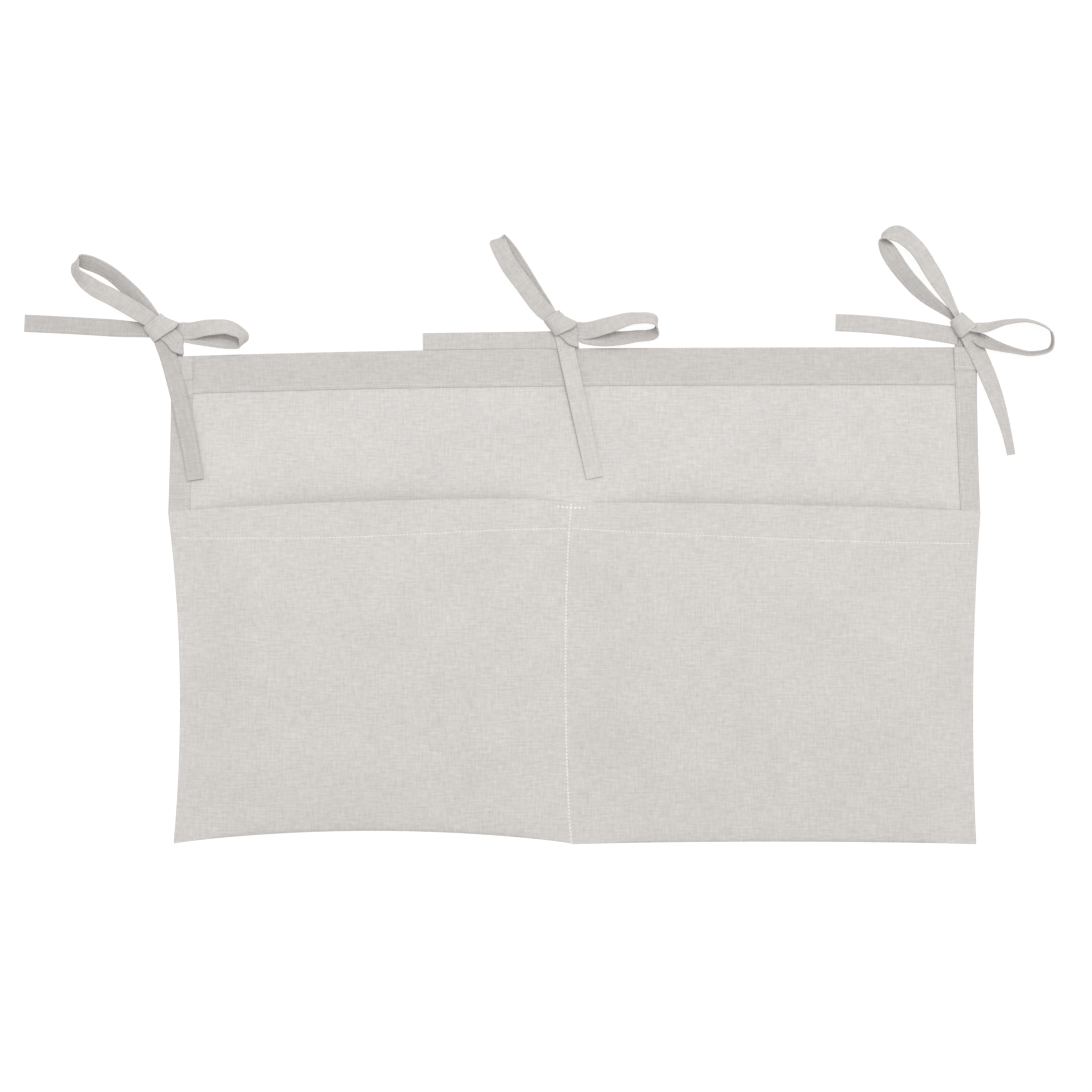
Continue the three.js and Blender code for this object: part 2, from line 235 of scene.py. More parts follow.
def linen(name, shade, contrast=0.065, on_tape=False, paler_up=0.0):
    """Matt plain weave. shade is the cloth's linear colour, contrast how far its threads differ, and
    paler_up how much paler it gets with each millimetre up the panel."""
    material = bpy.data.materials.new(name)
    tree = emptied(material)
    place = Wire.node(tree, "ShaderNodeTexCoord").out("UV" if on_tape else "Object")
    split = Wire.node(tree, "ShaderNodeSeparateXYZ", {}, {0: place})
    along, across = split / MM, split.out(1) / MM

    def noise(u, v, w, detail):
        spot = Wire.node(tree, "ShaderNodeCombineXYZ", {}, {0: u, 1: v, 2: w})
        values = {"Vector": spot, "Scale": 1.0, "Detail": detail, "Roughness": 0.6}
        return Wire.node(tree, "ShaderNodeTexNoise", {}, values) - 0.5

    weft = noise(along / slub_length, across / slub_width, 3.0, 3.0)
    warp = noise(across / slub_length, along / slub_width, 11.0, 3.0)
    mottle = noise(along / mottle_size, across / mottle_size, 7.0, 2.0)
    cloud = noise(along / cloud_size, across / cloud_size, 5.0, 1.0)
    turns = math.pi / thread_pitch
    basket = (along * turns + warp * 2).math("SINE") * (across * turns + weft * 2).math("SINE")
    share = weft * 1.1 + warp * 0.9 + mottle * 0.7 + cloud * 0.3 + basket * 0.05 + 0.5
    if paler_up:
        share = share + across * paler_up
    if on_tape:
        # Painted shade: the tape's second face, which lies beyond the first on its map, is made darker.
        share = share - across.math("GREATER_THAN", tape_width) * painted_inner_shade
    dark = [c * (1 - tone_range * contrast) for c in shade] + [1.0]
    light = [min(1.0, c * (1 + tone_range * contrast)) for c in shade] + [1.0]
    blend = {"data_type": "RGBA", "clamp_factor": True}
    colour = Wire.node(tree, "ShaderNodeMix", blend, {0: share, 6: dark, 7: light}).out(2)
    relief = basket * 0.5 + weft + warp
    bump_values = {"Strength": 0.5, "Distance": weave_relief, "Height": relief}
    surface_values = {
        "Base Color": colour,
        "Roughness": 0.95 - share * 0.08,
        "Specular IOR Level": 0.18,
        "Sheen Weight": 0.1,
        "Sheen Roughness": 0.5,
        "Normal": Wire.node(tree, "ShaderNodeBump", {}, bump_values),
    }
    surface = Wire.node(tree, "ShaderNodeBsdfPrincipled", {}, surface_values)
    Wire.node(tree, "ShaderNodeOutputMaterial", {}, {"Surface": surface})
    return material


print("threads in a centimetre of cloth:", round(10 / thread_pitch))

# %% Finishes
single_linen = linen("linen_single", (0.71, 0.681, 0.659))
hem_linen = linen("linen_doubled", (0.63, 0.602, 0.58))
pocket_linen = linen("linen_pocket", (0.68, 0.653, 0.63), paler_up=0.0007)
tape_linen = linen("linen_tape", (0.64, 0.612, 0.59), on_tape=True)
deep_tape_linen = linen("linen_tape_deep", (0.575, 0.55, 0.53), on_tape=True)
pale_tape_linen = linen("linen_tape_pale", (0.68, 0.652, 0.63), on_tape=True)
thread = linen("sewing_thread", (0.95, 0.93, 0.91), contrast=0.03)
hem_thread = linen("hem_thread", (0.82, 0.80, 0.78), contrast=0.03)
tape_thread = linen("tape_thread", (0.76, 0.735, 0.715), contrast=0.03)
print("finishes:", [material.name for material in bpy.data.materials])

# %% [markdown]
# ## The back cloth
# The back cloth is one layer, which light passes through a little, so it is the palest part. A plane
# with a Solidify modifier would do, but its edge would be square. So a cloth is a grid of points for its
# face and one for its back, joined round the rim through a middle row that stands out a little.

# %% A cloth from two grids
def cloth_grid(name, face, back, rim_swell, material):
    """A closed cloth from two grids of points, rows x columns x 3, the face above the back."""
    rows, columns, _ = face.shape
    middle = (face + back) / 2
    ring = [(0, c) for c in range(columns)] + [(r, columns - 1) for r in range(1, rows)]
    ring += [(rows - 1, c) for c in range(columns - 2, -1, -1)]
    ring += [(r, 0) for r in range(rows - 2, 0, -1)]
    count = len(ring)
    places = np.array([middle[place] for place in ring])
    along = np.roll(places, -1, axis=0) - np.roll(places, 1, axis=0)
    out = np.stack([along[:, 1], -along[:, 0], 0 * along[:, 0]], 1)
    out /= np.linalg.norm(out, axis=1, keepdims=True)
    points = np.concatenate([face.reshape(-1, 3), back.reshape(-1, 3), places + out * rim_swell])
    layer = rows * columns
    faces = []
    for r in range(rows - 1):
        for c in range(columns - 1):
            a = r * columns + c
            b = a + columns
            faces.append((a, a + 1, b + 1, b))
            faces.append((layer + a, layer + b, layer + b + 1, layer + a + 1))
    for i in range(count):
        j = (i + 1) % count
        a, b = (ring[k][0] * columns + ring[k][1] for k in (i, j))
        faces.append((a, 2 * layer + i, 2 * layer + j, b))
        faces.append((2 * layer + i, layer + a, layer + b, 2 * layer + j))
    return solid(name, points, faces, material)


# %% Back cloth
cloth_thickness = 0.7
back_z = 0.25
cloth_top = back_z + cloth_thickness
nose_depth = 1.1
ripple_height = 0.13
lowest_z = 0.03
back_rim_swell = 0.1


def ripple(x, y):
    """Cloth that was pressed and laid down still rises and falls by a hair."""
    long_wave = np.sin(x / 31.0 + 1.3 * np.sin(y / 47.0))
    return ripple_height * (long_wave + 0.7 * np.sin(y / 23.0 + 1.1 * np.sin(x / 53.0 + 2.0)))


def back_cloth():
    across = np.linspace(0, 1, 170)
    face = []
    for up in np.linspace(0, 1, 110):
        level = mix(bottom_y, top_y, up)
        left, right = side_x(left_side, level), side_x(right_side, level)
        x = mix(left + nose_depth, right - nose_depth, across)
        y = mix(bottom_edge_y(x) + nose_depth, top_edge_y(x) - nose_depth, up)
        face.append(np.stack([x, y, cloth_top + ripple(x, y)], 1))
    face = np.array(face)
    back = face - [0, 0, cloth_thickness]
    back[..., 2] = np.maximum(back[..., 2], lowest_z)
    return cloth_grid("back_cloth", face, back, back_rim_swell, single_linen)


back_piece = back_cloth()
print("back cloth:", len(back_piece.data.polygons), "faces")

# %% [markdown]
# ## The hems
# Along the top and down both sides the back cloth is folded over to the front, and there the doubled
# cloth is darker. A fold is a round nose that wraps the cloth's edge, so each hem is one section carried
# along its edge: its free edge, the flat strip, and round the nose to the back. The side hems lie over
# the top hem in the corners.

# %% A section carried along a line
def carried(name, rings, material):
    """A closed body from rings of points, each ring running the same way round."""
    rings = np.asarray(rings)
    count, around, _ = rings.shape
    faces = []
    for i in range(count - 1):
        for j in range(around):
            k = (j + 1) % around
            faces.append((i * around + j, i * around + k, (i + 1) * around + k, (i + 1) * around + j))
    last = (count - 1) * around
    faces.append(tuple(range(around - 1, -1, -1)))
    faces.append(tuple(range(last, last + around)))
    return solid(name, rings.reshape(-1, 3), faces, material)


# %% Hems
top_hem_depth = 28.0
strip_gap = 0.06
hem_top = cloth_top + strip_gap + cloth_thickness
lip = 0.35
hem_end_inset, hem_tuck = 1.3, 14.0
corner_climb = 3.5
corner_patch, corner_step, corner_ramp = 17.6, 0.9, 0.4


def hem_section(depth, lift=0.0):
    """A folded hem cut across, as (distance in from the outer edge, height) pairs."""
    top, under = hem_top + lift, cloth_top + strip_gap + lift
    middle, half = (top + back_z) / 2, (top - back_z) / 2
    free_edge = [(depth, (top + under) / 2), (depth - lip * 0.3, top - lip * 0.4), (depth - lip, top)]
    strip = [(s, top) for s in np.linspace(depth - 1.2, nose_depth + 1.5, 9)]
    nose = [
        (nose_depth * (1 - math.sin(turn)), middle + half * math.cos(turn))
        for turn in np.linspace(0, math.pi, 9)
    ]
    inside = [(nose_depth + 0.05, back_z), (nose_depth + 0.05, under), (depth - lip, under)]
    return free_edge + strip + nose + inside


def top_hem():
    ends = [side_x(side, top_y) - side["sign"] * hem_end_inset for side in (left_side, right_side)]
    section = hem_section(top_hem_depth)
    rings = []
    for x in np.linspace(*ends, 240):
        edge = float(top_edge_y(x))
        rings.append([(x, edge - s, z + (ripple(x, edge - s) if s > 2 else 0)) for s, z in section])
    return carried("top_hem", rings, hem_linen)


def corner_lift(y, top):
    """A side hem climbs over the top hem, and once more over its own turned-in end in the corner."""
    onto_hem = smooth((y - (top - top_hem_depth - corner_climb)) / corner_climb)
    onto_end = smooth((y - (top - corner_patch)) / corner_ramp)
    return (cloth_thickness + strip_gap) * onto_hem + corner_step * onto_end


def side_hem(side, name):
    """From behind the pocket's mouth up to the top edge, climbing over the top hem on its way."""
    sign = side["sign"]
    foot = float(mouth_y(sign * (half_width - side["hem"][0]))) - hem_tuck
    top = float(top_edge_y(sign * half_width))
    rings = []
    for y in np.linspace(foot, top, 170):
        section = hem_section(float(side_hem_depth(side, y)), float(corner_lift(y, top)))
        rings.append([(float(side_x(side, y)) - sign * s, y, z) for s, z in section])
    return carried(name, rings if sign > 0 else rings[::-1], hem_linen)


hems = [top_hem(), side_hem(left_side, "left_hem"), side_hem(right_side, "right_hem")]
print("hem depths, mm:", top_hem_depth, left_side["hem"], right_side["hem"])

# %% [markdown]
# ## The pockets
# The pocket cloth is sewn down at both sides, along the bottom and along a seam near the middle, and it
# crowns between them: the left pocket stands fuller than the right one. The crown is a formula of how
# far across and up a point lies: it leaves each seam flat, rises softly, is level in the middle and
# settles a little at the mouth. The mouth is turned to the inside, and the row of stitches that holds
# the turning pulls a fine groove.

# %% Pocket cloth
mouth_share = 0.72
seam_ease = 0.22
seam_start, seam_bend = -1.5, 4.9
row_left_y, row_seam_y, row_right_y = 42.8, 50.0, 38.8
groove_depth, groove_width, groove_band = 0.2, 0.9, (0.88, 0.97)
groove_fade, wave_fade = 30, 12
pocket_gap, pocket_rim_swell = 0.1, 0.3
pocket_layers_z = cloth_top + pocket_gap + cloth_thickness
wrinkles = [
    dict(x=30.0, y=12.0, angle=-52, length=30.0, width=5.0, height=0.35),
    dict(x=52.0, y=-2.0, angle=-48, length=26.0, width=4.0, height=0.3),
    dict(x=22.0, y=-30.0, angle=-60, length=34.0, width=5.0, height=0.25),
    dict(x=-60.0, y=-120.0, angle=40, length=40.0, width=6.0, height=0.25),
    dict(x=240.0, y=-140.0, angle=-35, length=45.0, width=6.0, height=0.25),
    dict(x=-250.0, y=-60.0, angle=75, length=60.0, width=6.0, height=0.3),
]


def seam_x(up):
    return seam_start - seam_bend * np.sin(np.pi * np.clip(up, 0, 1)) ** 0.6


def hem_row_y(x):
    """The stitched line that holds the mouth's turning: it dips away from the seam on both sides."""
    left = mix(row_left_y, row_seam_y, smooth(((x + half_width) / half_width - 0.3) / 0.7))
    right = mix(row_seam_y, row_right_y, 1 - (1 - np.clip(x / half_width, 0, 1)) ** 1.6)
    return np.where(x < 0, left, right)


def crown_height(across, up, crown):
    sideways = smooth(np.minimum(across, 1 - across) / seam_ease)
    rising = np.sin(np.pi * np.minimum(up, 0.5)) ** 0.6
    to_mouth = 1 - (1 - mouth_share) * smooth((up - 0.5) * 2)
    return crown * sideways * np.where(up < 0.5, rising, to_mouth)


def wrinkle(x, y):
    rise = 0 * x
    for fold in wrinkles:
        turn = math.radians(fold["angle"])
        along = (x - fold["x"]) * math.cos(turn) + (y - fold["y"]) * math.sin(turn)
        aside = (y - fold["y"]) * math.cos(turn) - (x - fold["x"]) * math.sin(turn)
        rise = rise + fold["height"] * np.exp(
            -((along / fold["length"]) ** 2) - (aside / fold["width"]) ** 2
        )
    return rise


def pocket_point(side, across, up):
    """A point of the pocket's face. across runs from the seam to the outer edge, up from the bottom."""
    level = mix(bottom_y, mouth_side_y, up)
    x = mix(seam_x(up), side_x(side, level), across)
    y = mix(bottom_edge_y(x), mouth_y(x), up)
    inner = smooth(across * groove_fade) * smooth((1 - across) * groove_fade)
    groove = groove_depth * np.exp(-(((hem_row_y(x) - y) / groove_width) ** 2)) * inner
    middle = smooth(np.minimum(across, 1 - across) * wave_fade) * smooth(up * wave_fade)
    z = pocket_layers_z + crown_height(across, up, side["crown"]) - groove
    return np.stack([x, y, z + middle * (1.3 * ripple(x * 1.3 + 40, y * 1.2) + wrinkle(x, y))], -1)


def close_at_ends(count, ease):
    """Shares from 0 to 1 that stand closer together at both ends."""
    t = np.linspace(0, 1, count)
    return mix(t, (1 - np.cos(np.pi * t)) / 2, ease)


def pocket_cloth():
    across = close_at_ends(84, 0.6)
    by_hem = np.linspace(*groove_band, 60)
    ups = np.unique(np.concatenate([close_at_ends(90, 0.5), by_hem]))
    halves = [(left_side, across[::-1]), (right_side, across[1:])]
    face = np.array([np.concatenate([pocket_point(*half, up) for half in halves]) for up in ups])
    back = face - [0, 0, cloth_thickness]
    turned = smooth(face[..., 1] - hem_row_y(face[..., 0]))
    back[..., 2] = np.maximum(back[..., 2] - cloth_thickness * turned, cloth_top + 0.05)
    back[:, [0, -1], 2] = back_z
    back[0, :, 2] = back_z
    return cloth_grid("pocket_cloth", face, back, pocket_rim_swell, pocket_linen)


pocket_piece = pocket_cloth()
print("pocket cloth:", len(pocket_piece.data.polygons), "faces")

# %% [markdown]
# ## Tape, from a tree of nodes
# Every tie is the same folded tape, so one geometry tree makes all of it. The tree takes a line of
# points, turns it into a curve, lets each point's stored width direction steer it, and carries a
# section along it: a thin rounded bar with two faint grooves where the edge stitches pull. The stored
# gathering narrows the tape where it is squeezed, and length and width become the UV map.

# %% Parts that both trees have
def new_tree(name, inputs):
    tree = bpy.data.node_groups.new(name, "GeometryNodeTree")
    tree.interface.new_socket(name="Line", in_out="INPUT", socket_type="NodeSocketGeometry")
    for label, kind in inputs.items():
        tree.interface.new_socket(name=label, in_out="INPUT", socket_type="NodeSocket" + kind)
    tree.interface.new_socket(name="Piece", in_out="OUTPUT", socket_type="NodeSocketGeometry")
    return tree, Wire.node(tree, "NodeGroupInput")


def stored(tree, name, kind):
    return Wire.node(tree, "GeometryNodeInputNamedAttribute", {"data_type": kind}, {"Name": name})


def finished(tree, geometry, finish):
    """The end of every tree: shaded smooth, made real, and given its material."""
    smooth_piece = Wire.node(tree, "GeometryNodeSetShadeSmooth", {}, {0: geometry})
    real = Wire.node(tree, "GeometryNodeRealizeInstances", {}, {0: smooth_piece})
    dressed = Wire.node(tree, "GeometryNodeSetMaterial", {}, {"Geometry": real, "Material": finish})
    Wire.node(tree, "NodeGroupOutput", {}, {0: dressed})


# %% Tape tree
stitch_place = 0.66
quarter = [
    (1.0, 0.0), (0.985, 0.62), (0.93, 1.0), (0.73, 1.0), (stitch_place, 0.72), (0.59, 1.0), (0.3, 0.96),
]
half_section = quarter + [(0.0, 0.94)] + [(-a, h) for a, h in quarter[::-1]]
section = half_section + [(a, -h) for a, h in half_section[-2:0:-1]]
print("tape section:", len(section), "points")


def tape_tree():
    inputs = {"Section": "Object", "Width": "Float", "Thickness": "Float", "Finish": "Material"}
    tree, given = new_tree("tape", inputs)
    width, thickness = given.out("Width"), given.out("Thickness")
    curve = Wire.node(tree, "GeometryNodeMeshToCurve", {}, {0: given})
    steer = {"Curve": curve, "Normal": stored(tree, "width_way", "FLOAT_VECTOR")}
    steered = Wire.node(tree, "GeometryNodeSetCurveNormal", {"mode": "FREE"}, steer)
    bar = Wire.node(tree, "GeometryNodeObjectInfo", {}, {0: given.out("Section")}).out("Geometry")
    outline = Wire.node(tree, "GeometryNodeMeshToCurve", {}, {0: bar})
    size = Wire.node(tree, "ShaderNodeCombineXYZ", {}, {0: width * 0.5, 1: thickness * 0.5, 2: 1.0})
    sized = Wire.node(tree, "GeometryNodeTransform", {}, {"Geometry": outline, "Scale": size})
    swept = {"Curve": steered, "Profile Curve": sized, "Scale": stored(tree, "gather", "FLOAT")}
    swept["Fill Caps"] = True
    body = Wire.node(tree, "GeometryNodeCurveToMesh", {}, swept)
    across = stored(tree, "place", "FLOAT") * width * 0.5
    spot = Wire.node(tree, "ShaderNodeCombineXYZ", {}, {0: stored(tree, "run", "FLOAT"), 1: across})
    keep = {"data_type": "FLOAT2", "domain": "CORNER"}
    mapped = {"Geometry": body, "Name": "tape_map", "Value": spot}
    finished(tree, Wire.node(tree, "GeometryNodeStoreNamedAttribute", keep, mapped), given.out("Finish"))
    return tree


tape_nodes = tape_tree()
print("tape tree:", len(tape_nodes.nodes), "nodes")

# %% From a line of points to a mesh
def line_of_points(name, runs, closed=False, attributes=()):
    """A mesh of edges only. Each run is an array whose first three columns are a place in mm."""
    points = np.concatenate([run[:, :3] for run in runs])
    edges, first = [], 0
    for run in runs:
        last = first + len(run)
        edges += [(i, i + 1) for i in range(first, last - 1)] + ([(last - 1, first)] if closed else [])
        first = last
    mesh = bpy.data.meshes.new(name)
    mesh.from_pydata((points * MM).tolist(), edges, [])
    for label, kind, values in attributes:
        field = "vector" if kind == "FLOAT_VECTOR" else "value"
        mesh.attributes.new(label, kind, "POINT").data.foreach_set(field, np.ravel(values))
    return in_scene(name, mesh)


def grown(name, line, tree, values):
    """Runs a tree on a line of points and keeps the plain mesh that it makes."""
    modifier = line.modifiers.new(tree.name, "NODES")
    modifier.node_group = tree
    for item in tree.interface.items_tree:
        if item.name in values:
            modifier[item.identifier] = values[item.name]
    bpy.context.view_layer.update()
    evaluated = line.evaluated_get(bpy.context.evaluated_depsgraph_get())
    mesh = bpy.data.meshes.new_from_object(evaluated)
    bpy.data.objects.remove(line)
    for label in ("width_way", "face_way", "gather", "run", "place"):
        if label in mesh.attributes:
            mesh.attributes.remove(mesh.attributes[label])
    mesh.name = name
    return finish_mesh(name, mesh)


# The tape's lower face is moved along the map, so that the linen can paint it darker as shade inside the
# loops.
painted_shade_face_offset = 4.0
section_points = np.array([(a, h, 0) for a, h in section]) / MM
places = [a + (painted_shade_face_offset if h < 0 else 0) for a, h in section]
section_line = line_of_points(
    "tape_section", [section_points], closed=True, attributes=[("place", "FLOAT", places)]
)
print("points in the section's line:", len(section_line.data.vertices))

# %% [markdown]
# ## Stitches, from a second tree
# A row of stitches is one small thread shape again and again along a line, which is what instances are
# for. The tree spaces points along the line at the stitch's pitch, lays a little rounded bar on each
# along the line and flat on the cloth, and stretches each by a seeded hair.

# %% Stitch tree
stitch_pitch, stitch_length, thread_height = 2.6, 2.05, 0.3
thread_width, hem_thread_width, tape_thread_width = 0.6, 0.48, 0.4


def stitch_tree():
    inputs = {"Pitch": "Float", "Stitch Length": "Float", "Thread": "Float", "Thread Height": "Float"}
    tree, given = new_tree("stitches", {**inputs, "Seed": "Int", "Finish": "Material"})
    curve = Wire.node(tree, "GeometryNodeMeshToCurve", {}, {0: given})
    spaced = {"Curve": curve, "Length": given.out("Pitch")}
    dots = Wire.node(tree, "GeometryNodeResampleCurve", {"mode": "LENGTH"}, spaced)
    bar = Wire.node(tree, "GeometryNodeMeshUVSphere", {}, {"Segments": 8, "Rings": 5, "Radius": 0.5})
    tangent = Wire.node(tree, "GeometryNodeInputTangent")
    axes = {"primary_axis": "X", "secondary_axis": "Z"}
    ways = {"Primary Axis": tangent, "Secondary Axis": stored(tree, "face_way", "FLOAT_VECTOR")}
    turn = Wire.node(tree, "FunctionNodeAxesToRotation", axes, ways)
    seeded = {"Min": (0.9, 0.9, 0.85), "Max": (1.08, 1.1, 1.1), "Seed": given.out("Seed")}
    vary = Wire.node(tree, "FunctionNodeRandomValue", {"data_type": "FLOAT_VECTOR"}, seeded)
    wanted = {0: given.out("Stitch Length"), 1: given.out("Thread"), 2: given.out("Thread Height")}
    size = Wire.node(tree, "ShaderNodeCombineXYZ", {}, wanted)
    scale = Wire.node(tree, "ShaderNodeVectorMath", {"operation": "MULTIPLY"}, {0: vary, 1: size})
    placed = {"Points": dots, "Instance": bar, "Rotation": turn, "Scale": scale}
    finished(tree, Wire.node(tree, "GeometryNodeInstanceOnPoints", {}, placed), given.out("Finish"))
    return tree


stitch_nodes = stitch_tree()


def stitched(name, rows, seed, width=tape_thread_width, finish=tape_thread):
    """rows are arrays of x, y, z and the three parts of the direction that the cloth faces."""
    facing = np.concatenate([row[:, 3:6] for row in rows])
    line = line_of_points(name, rows, attributes=[("face_way", "FLOAT_VECTOR", facing)])
    sizes = {
        "Pitch": stitch_pitch * MM,
        "Stitch Length": stitch_length * MM,
        "Thread": width * MM,
        "Thread Height": thread_height * MM,
    }
    return grown(name, line, stitch_nodes, {**sizes, "Seed": seed, "Finish": finish})


print("stitch tree:", len(stitch_nodes.nodes), "nodes")

# %% Stitch rows on the cloth
inside_hem, inside_side_hem = 2.5, 2.4
corner_rows, corner_y, seam_row_aside = (2.8, 14.6), 170.0, 0.3
bar_reach, bar_up = 9.5, (0.983, 0.9845, 0.986)
hem_rise, pocket_rise, seam_rise = 0.08, 0.05, 0.1


def flat_row(x, y, z, way=1.0):
    """A row on cloth that faces up, or down where way is -1. Any of x, y and z may be one number."""
    x, y, z = (np.broadcast_to(np.asarray(v, float), np.broadcast(x, y, z).shape) for v in (x, y, z))
    return np.stack([x, y, z, 0 * x, 0 * x, 0 * x + way], 1)


def pocket_row(side, across, up):
    points = pocket_point(side, across, up)
    return flat_row(points[:, 0], points[:, 1], points[:, 2] + pocket_rise)


def both_faces(x, y, z):
    """A row on the front at the height z, and the same row as it shows on the back."""
    return [flat_row(x, y, z + hem_rise), flat_row(x, y, back_z - hem_rise, -1.0)]


def hem_rows():
    """Along the top hem and both side hems, on both faces, and two short rows in each corner."""
    ends = [side_x(side, corner_y) - side["sign"] * side["hem"][1] for side in (left_side, right_side)]
    xs = np.linspace(*ends, 200)
    row_y = top_edge_y(xs) - top_hem_depth + inside_hem
    rows = both_faces(xs, row_y, hem_top + ripple(xs, row_y))
    for side in (left_side, right_side):
        sign = side["sign"]
        inner = sign * (half_width - side["hem"][0])
        top = float(top_edge_y(sign * half_width))
        ys = np.linspace(float(mouth_y(inner)) + 1, top - 1.0, 160)
        x = side_x(side, ys) - sign * (side_hem_depth(side, ys) - inside_side_hem)
        rows += both_faces(x, ys, hem_top + corner_lift(ys, top))
        for down in corner_rows:
            across = np.linspace(1.5, side["hem"][1] - 0.8, 12)
            x = side_x(side, top - down) - sign * across
            rows.append(flat_row(x, top - down, hem_top + corner_lift(top - down, top) + hem_rise))
    return rows


def pocket_rows():
    """Below the mouth, the bar across the seam, and the seam. The first row's share of the way up is
    found in three rounds, because a point's x shifts a little as that share changes."""
    rows = []
    for side in (left_side, right_side):
        across = np.linspace(0.012, 0.985, 240)
        hem_up = 0.9 + 0 * across
        for _ in range(3):
            at = pocket_point(side, across, hem_up)
            base = bottom_edge_y(at[:, 0])
            hem_up = (hem_row_y(at[:, 0]) - base) / (mouth_y(at[:, 0]) - base)
        rows.append(pocket_row(side, across, hem_up))
        bar = np.linspace(0, bar_reach / half_width, 12)
        rows += [pocket_row(side, bar, up) for up in bar_up]
    up = np.linspace(0.004, 0.992, 160)
    seam = pocket_point(right_side, 0 * up, up)
    for aside in (-seam_row_aside, seam_row_aside):
        rows.append(flat_row(seam[:, 0] + aside, seam[:, 1], seam[:, 2] + seam_rise))
    rows.append(flat_row(seam[:, 0], seam[:, 1], back_z - hem_rise, -1.0))
    return rows


hem_stitches = stitched("hem_stitches", hem_rows(), seed=4, width=hem_thread_width, finish=hem_thread)
pocket_stitches = stitched("pocket_stitches", pocket_rows(), seed=5, width=thread_width, finish=thread)
thread_faces = [len(piece.data.polygons) for piece in (hem_stitches, pocket_stitches)]
print("faces of thread on the hems and the pockets:", thread_faces)

# %% [markdown]
# ## Where each bow lies
# The three bows were tied by hand, so no two lie alike. A tie is its own point on the top edge and the
# knot's middle measured from it. A loop is a few stations measured from the knot: where the tape's
# middle is, how high, how many degrees it leans over, and the heading that its width is square to. It
# leaves the knot above, turns over at the tip and comes back below. Two of the front straps have
# stations too, from the hem to the knot: they fold over beside the hanging tail and cross its root. A
# straight strap needs only its distance aside, and the tails their ends, a bow aside and a roll. The
# wrap is the turn of tape round the knot: the heading of its long way, half its length, its width, and
# how far its two ends lean.

# %% Left tie
left_tie = dict(
    name="left", x=-298.0, knot=(-10.3, 21.4), tail_lies_on="hem",
    wrap=dict(angle=36.0, half=9.6, width=14.0, leans=(0.0, -33.0)),
    upper=[
        (0.5, 1.0, 6.2, 0, 142), (-15.6, 11.3, 8.0, 4, 145), (-33.8, 21.8, 10.4, 6, 146),
        (-49.7, 30.4, 11.9, 16, 150), (-62.2, 43.0, 8.8, 56, 94), (-61.2, 49.9, 6.4, 48, 130),
        (-53.8, 48.5, 4.6, 34, 161), (-40.8, 42.9, 5.2, 35, 155), (-22.8, 28.3, 4.4, 30, 135),
        (-1.9, 4.1, 4.4, 15, 130),
    ],
    right=[
        (7.6, -0.3, 3.0, 0, -8), (20.4, -2.6, 4.8, 2, 2), (37.4, -0.4, 10.2, 20, 5),
        (54.0, -1.0, 11.0, 38, -14), (63.0, -7.5, 9.4, 58, -72), (62.2, -12.1, 7.4, 58, -40),
        (54.5, -11.4, 5.8, 42, 0), (42.7, -9.0, 4.7, 20, 0), (26.3, -6.2, 3.8, 12, -8),
        (9.1, -2.5, 3.0, 8, -8),
    ],
    left_tail=dict(start=(-7.1, -2.1), end=(-101.1, 3.5), bow=-0.4, gather=0.8, finish=deep_tape_linen),
    tail=dict(
        root=(0.0, -2.0, 5.0), gather=1.1, foot=(-3.9, 0.0), end=(15.9, -91.8), bow=1.6, end_roll=0,
        finish=deep_tape_linen,
    ),
    front_strap=[
        (10.6, -29.4, 1.15, 0, 90), (10.6, -21.4, 1.25, 0, 90), (11.2, -17.4, 2.8, 0, 62),
        (13.8, -14.6, 3.9, 0, 30), (16.6, -13.9, 4.4, 0, 6), (17.4, -13.75, 5.2, 0, 0),
        (16.6, -13.6, 6.0, 0, -10), (13.8, -12.8, 6.5, 0, -36), (10.6, -8.8, 6.6, 0, -42),
        (0.0, 0.5, 6.3, 0, -44),
    ],
    back_strap=-1.5,
)
print("stations of the left tie's upper loop:", len(left_tie["upper"]))

# %% Middle tie
middle_tie = dict(
    name="middle", x=-1.5, knot=(-10.0, 18.5), tail_lies_on="cloth",
    wrap=dict(angle=29.0, half=7.6, width=15.0, leans=(-9.0, -36.0)),
    upper=[
        (0.3, 0.1, 6.2, 0, 128), (-11.6, 10.0, 7.8, 2, 127), (-26.4, 28.8, 10.0, 4, 122),
        (-38.2, 45.1, 10.4, 13, 122), (-45.2, 62.3, 7.2, 12, 112), (-38.2, 55.4, 4.1, 19, 120),
        (-30.6, 44.1, 4.4, 18, 124), (-14.2, 17.7, 4.6, 22, 122), (-3.4, 1.7, 4.4, 12, 122),
    ],
    right=[
        (4.8, -3.4, 3.0, 0, -4), (18.9, -5.6, 4.8, 2, 4), (35.9, -2.1, 9.6, 16, 12),
        (56.7, 3.4, 10.6, 46, 8), (72.3, 1.0, 9.4, 50, -6), (72.7, -5.9, 7.2, 50, 12),
        (56.0, -9.9, 6.0, 44, 6), (33.8, -11.3, 4.2, 24, 2), (10.0, -7.5, 3.0, 12, 0),
    ],
    left_tail=dict(start=(-3.0, -12.15), end=(-101.2, -13.45), bow=-0.1, gather=1.0, finish=tape_linen),
    tail=dict(
        root=(3.6, 0.0, 5.0), gather=1.4, foot=(-4.5, 0.0), end=(16.7, -96.4), bow=0, end_roll=0,
        finish=pale_tape_linen,
    ),
    front_strap=[
        (8.8, -26.5, 1.15, 0, 90), (8.8, -18.6, 1.25, 0, 90), (9.0, -15.0, 2.8, 0, 62),
        (10.8, -12.4, 3.9, 0, 30), (13.4, -11.5, 4.4, 0, 6), (14.2, -11.3, 5.2, 0, 0),
        (13.4, -11.1, 6.0, 0, -10), (10.8, -10.2, 6.5, 0, -28), (7.6, -6.9, 6.5, 0, -32),
        (-0.6, -1.2, 6.2, 0, -32),
    ],
    back_strap=-1.5,
)
print("stations of the middle tie's upper loop:", len(middle_tie["upper"]))

